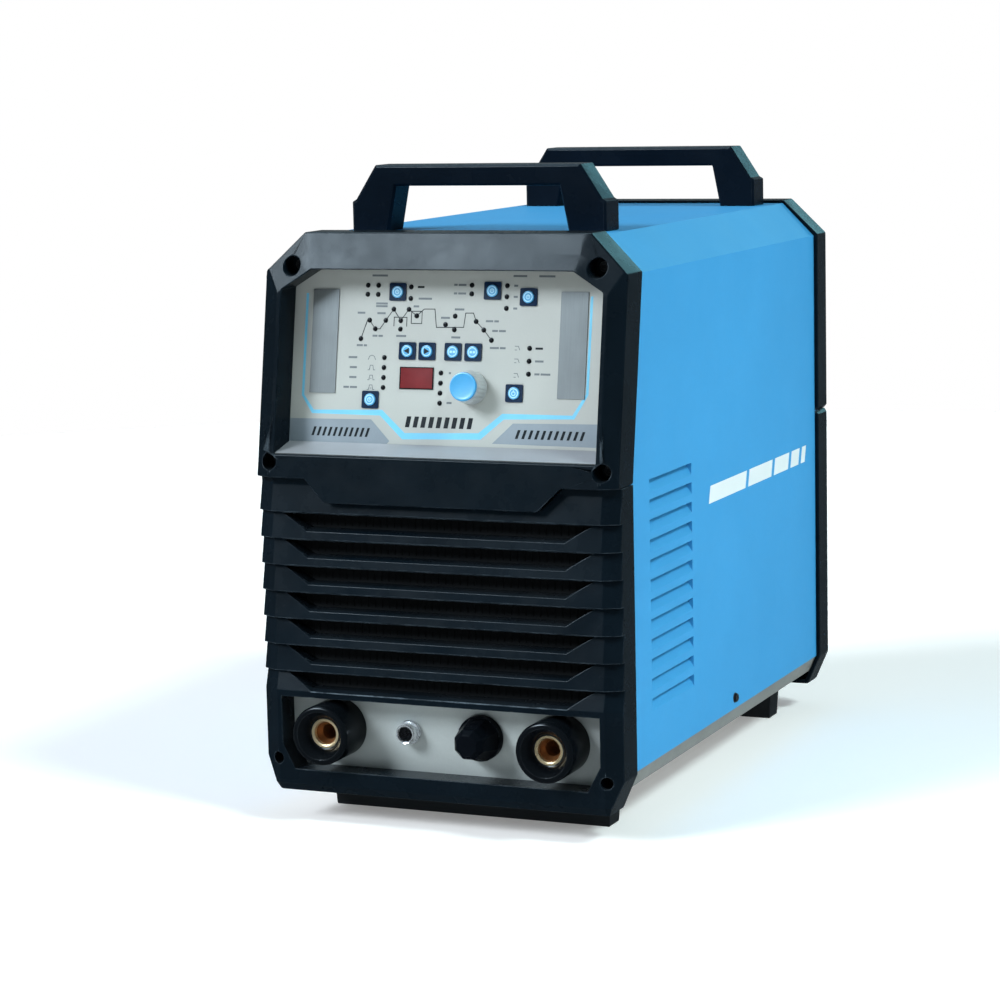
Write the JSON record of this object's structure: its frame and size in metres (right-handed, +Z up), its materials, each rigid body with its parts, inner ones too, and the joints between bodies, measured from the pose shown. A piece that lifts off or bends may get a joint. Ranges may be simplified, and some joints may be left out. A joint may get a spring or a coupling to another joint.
{
  "type": "tig welding machine",
  "caption": "Upright inverter TIG welding power source: blue steel case between black moulded frames, carry handles, leaning control panel, stepped grille and weld sockets.",
  "frame": {"origin": "on the floor, under the middle of the machine's whole box", "axes": "+Z up, the control panel and weld sockets face -Y, +X is to the right of someone facing the front"},
  "size_m": [0.32, 0.602, 0.541],
  "materials": {
    "frame_black": "moulded, fine satin grain, rubbed lighter on the edges",
    "handle_black": "moulded, satin",
    "foot_black": "moulded, dull",
    "case_blue": "smooth powder coat, semi gloss",
    "chassis_grey": "warm grey paint, satin",
    "rear_grey": "grey paint, satin",
    "panel_light": "printed overlay, satin, with line work",
    "display_red": "tinted window, glossy",
    "trim_silver": "brushed, satin",
    "lamp_dark": "unlit lens, glossy",
    "bezel_navy": "navy, semi gloss",
    "button_blue": "light blue, semi gloss",
    "knob_blue": "light blue, satin",
    "knob_silver": "turned, fine ribs",
    "output_silver": "silver paint, satin",
    "screen_black": "black, dull",
    "socket_black": "moulded, semi gloss",
    "insulator_black": "moulded",
    "cap_black": "moulded, satin",
    "brass": "turned, slightly dulled",
    "chrome": "plated, bright",
    "zinc_steel": "zinc plated",
    "screw_black": "black oxide",
    "sink_aluminium": "extruded",
    "module_grey": "moulded",
    "board_green": "solder mask over fibre board",
    "capacitor_black": "shrink sleeve",
    "ferrite": "sintered, dull",
    "copper": "enamelled copper strip",
    "hose_black": "smooth hose",
    "fan_black": "moulded",
    "breaker_grey": "moulded, light grey",
    "lever_black": "moulded",
    "gland_black": "moulded nylon"
  },
  "bodies": {
    "case": {"base_tray": "chassis_grey", "breaker_body": "breaker_grey", "button_bezels": "bezel_navy", "cable_gland": "gland_black", "capacitors": "capacitor_black", "case_cover": "case_blue", "case_screws": "screw_black", "choke_coil": "copper", "choke_core": "ferrite", "control_board": "board_green", "control_panel": "panel_light", "control_socket_insert": "insulator_black", "control_socket_shell": "chrome", "display_window": "display_red", "earth_stud": "zinc_steel", "encoder_body": "zinc_steel", "fan_frame": "fan_black", "fan_guard": "chrome", "foot_bars": "foot_black", "frame_screws": "screw_black", "front_handle": "handle_black", "gas_hose": "hose_black", "gas_inlet_nipple": "brass", "gas_outlet_fitting": "brass", "gas_valve": "brass", "grille_screen": "screen_black", "heat_sinks": "sink_aluminium", "hf_coil": "ferrite", "indicator_lights": "lamp_dark", "inner_shelf": "zinc_steel", "lower_front_frame": "frame_black", "lower_rear_frame": "frame_black", "output_panel": "output_silver", "panel_trim_strips": "trim_silver", "power_board": "board_green", "power_modules": "module_grey", "rear_handle": "handle_black", "rear_panel": "rear_grey", "transformer_coil": "copper", "transformer_core": "ferrite", "upper_front_frame": "frame_black", "upper_rear_frame": "frame_black", "weld_socket_contacts": "brass", "weld_socket_nuts": "zinc_steel", "weld_socket_shells": "socket_black"},
    "knob": {"knob_cap": "knob_blue", "knob_skirt": "knob_silver", "encoder_shaft": "zinc_steel"},
    "gas_cap": {"dust_cap": "cap_black"},
    "fan": {"fan_rotor": "fan_black"},
    "mains_lever": {"breaker_lever": "lever_black"},
    "welding_mode_button_cap": {"welding_mode_button": "button_blue"},
    "output_mode_button_cap": {"output_mode_button": "button_blue"},
    "pulse_button_cap": {"pulse_button": "button_blue"},
    "step_back_button_cap": {"step_back_button": "button_blue"},
    "step_forward_button_cap": {"step_forward_button": "button_blue"},
    "save_button_cap": {"save_button": "button_blue"},
    "recall_button_cap": {"recall_button": "button_blue"},
    "trigger_mode_button_cap": {"trigger_mode_button": "button_blue"},
    "gas_test_button_cap": {"gas_test_button": "button_blue"}
  },
  "joints": [
    {"name": "knob_turn", "type": "hinge", "parent": "case", "child": "knob", "pos_m": [0.0217, -0.24708, 0.36348], "axis": [0, -0.9854, 0.1702], "continuous": true},
    {"name": "gas_cap_pull", "type": "slide", "parent": "case", "child": "gas_cap", "axis": [0, -1, 0], "range_m": [0, 0.03]},
    {"name": "fan_spin", "type": "hinge", "parent": "case", "child": "fan", "pos_m": [0, 0.25, 0.175], "axis": [0, 1, 0], "continuous": true},
    {"name": "mains_lever_swing", "type": "hinge", "parent": "case", "child": "mains_lever", "pos_m": [0.07, 0.27, 0.4], "axis": [1, 0, 0], "range_deg": [0, 70]},
    {"name": "welding_mode_button_press", "type": "slide", "parent": "case", "child": "welding_mode_button_cap", "axis": [0, 0.9854, -0.1702], "range_m": [0, 0.001], "stiffness_N_per_m": 400, "springref_m": -0.0005},
    {"name": "output_mode_button_press", "type": "slide", "parent": "case", "child": "output_mode_button_cap", "axis": [0, 0.9854, -0.1702], "range_m": [0, 0.001], "stiffness_N_per_m": 400, "springref_m": -0.0005},
    {"name": "pulse_button_press", "type": "slide", "parent": "case", "child": "pulse_button_cap", "axis": [0, 0.9854, -0.1702], "range_m": [0, 0.001], "stiffness_N_per_m": 400, "springref_m": -0.0005},
    {"name": "step_back_button_press", "type": "slide", "parent": "case", "child": "step_back_button_cap", "axis": [0, 0.9854, -0.1702], "range_m": [0, 0.001], "stiffness_N_per_m": 400, "springref_m": -0.0005},
    {"name": "step_forward_button_press", "type": "slide", "parent": "case", "child": "step_forward_button_cap", "axis": [0, 0.9854, -0.1702], "range_m": [0, 0.001], "stiffness_N_per_m": 400, "springref_m": -0.0005},
    {"name": "save_button_press", "type": "slide", "parent": "case", "child": "save_button_cap", "axis": [0, 0.9854, -0.1702], "range_m": [0, 0.001], "stiffness_N_per_m": 400, "springref_m": -0.0005},
    {"name": "recall_button_press", "type": "slide", "parent": "case", "child": "recall_button_cap", "axis": [0, 0.9854, -0.1702], "range_m": [0, 0.001], "stiffness_N_per_m": 400, "springref_m": -0.0005},
    {"name": "trigger_mode_button_press", "type": "slide", "parent": "case", "child": "trigger_mode_button_cap", "axis": [0, 0.9854, -0.1702], "range_m": [0, 0.001], "stiffness_N_per_m": 400, "springref_m": -0.0005},
    {"name": "gas_test_button_press", "type": "slide", "parent": "case", "child": "gas_test_button_cap", "axis": [0, 0.9854, -0.1702], "range_m": [0, 0.001], "stiffness_N_per_m": 400, "springref_m": -0.0005}
  ]
}
